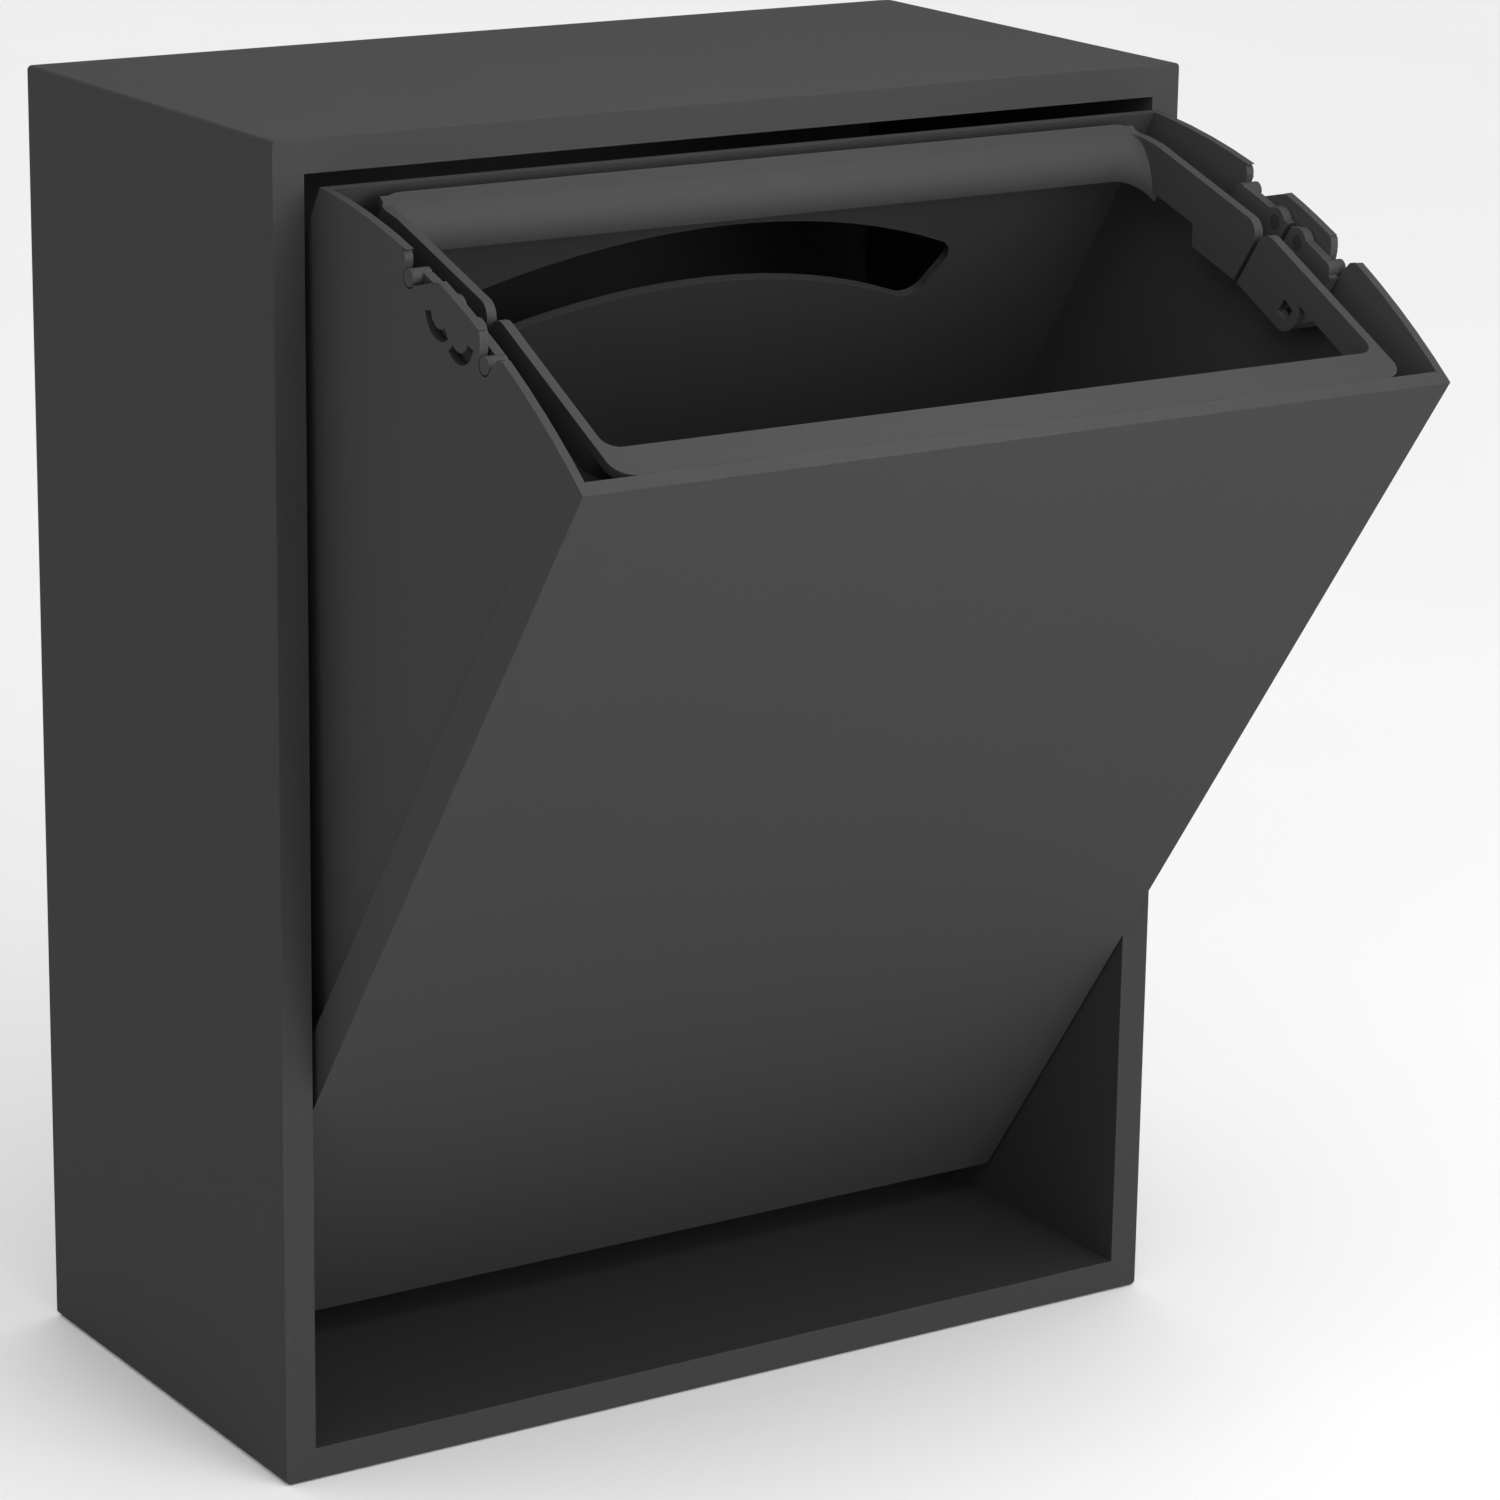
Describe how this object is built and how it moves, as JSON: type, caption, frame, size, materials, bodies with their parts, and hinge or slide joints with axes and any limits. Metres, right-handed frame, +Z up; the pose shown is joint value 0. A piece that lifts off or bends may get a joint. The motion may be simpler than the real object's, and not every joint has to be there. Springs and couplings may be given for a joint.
{
  "type": "wall-hung tilt-out waste bin",
  "caption": "Wall-hung box cabinet with an open front; its waste container tilts out on two side pins, and two half frames in the mouth lift to clamp a bag.",
  "frame": {"origin": "centre of the cabinet's footprint, on its base", "axes": "+Z up, +X to the right seen from the front, +Y back towards the wall"},
  "size_m": [0.32, 0.3106, 0.41],
  "materials": {
    "cabinet_plastic": "fine matt grain, charcoal",
    "container_plastic": "fine matt grain, charcoal",
    "frame_plastic": "satin, charcoal",
    "bush_plastic": "satin, near black",
    "rubber": "matt",
    "steel": "zinc plated"
  },
  "bodies": {
    "cabinet": {"cabinet_shell": "cabinet_plastic", "back_panel": "cabinet_plastic", "back_panel_screws": "steel", "left_pivot_bush": "bush_plastic", "right_pivot_bush": "bush_plastic", "left_stop_block": "cabinet_plastic", "right_stop_block": "cabinet_plastic", "stop_block_screws": "steel", "left_open_buffer": "rubber", "right_open_buffer": "rubber", "left_close_bumper": "rubber", "right_close_bumper": "rubber"},
    "bin": {"container": "container_plastic"},
    "left_pin": {"left_tilt_pin": "bush_plastic", "left_pin_ring": "rubber"},
    "right_pin": {"right_tilt_pin": "bush_plastic", "right_pin_ring": "rubber"},
    "front_frame": {"front_bag_frame": "frame_plastic", "front_left_hinge_pin": "bush_plastic", "front_right_hinge_pin": "bush_plastic"},
    "rear_frame": {"rear_bag_frame": "frame_plastic", "rear_left_hinge_pin": "bush_plastic", "rear_right_hinge_pin": "bush_plastic"}
  },
  "joints": [
    {"name": "bin_tilt", "type": "hinge", "parent": "cabinet", "child": "bin", "pos_m": [0, -0.06, 0.1284], "axis": [1, 0, 0], "range_deg": [-35, 0]},
    {"name": "front_frame_lift", "type": "hinge", "parent": "bin", "child": "front_frame", "pos_m": [0, -0.16485, 0.36845], "axis": [-1, 0, 0], "range_deg": [0, 80]},
    {"name": "rear_frame_lift", "type": "hinge", "parent": "bin", "child": "rear_frame", "pos_m": [0, -0.15389, 0.37302], "axis": [1, 0, 0], "range_deg": [0, 80]},
    {"name": "left_pin_pull", "type": "slide", "parent": "bin", "child": "left_pin", "axis": [1, 0, 0], "range_m": [0, 0.01]},
    {"name": "right_pin_pull", "type": "slide", "parent": "bin", "child": "right_pin", "axis": [-1, 0, 0], "range_m": [0, 0.01]}
  ]
}
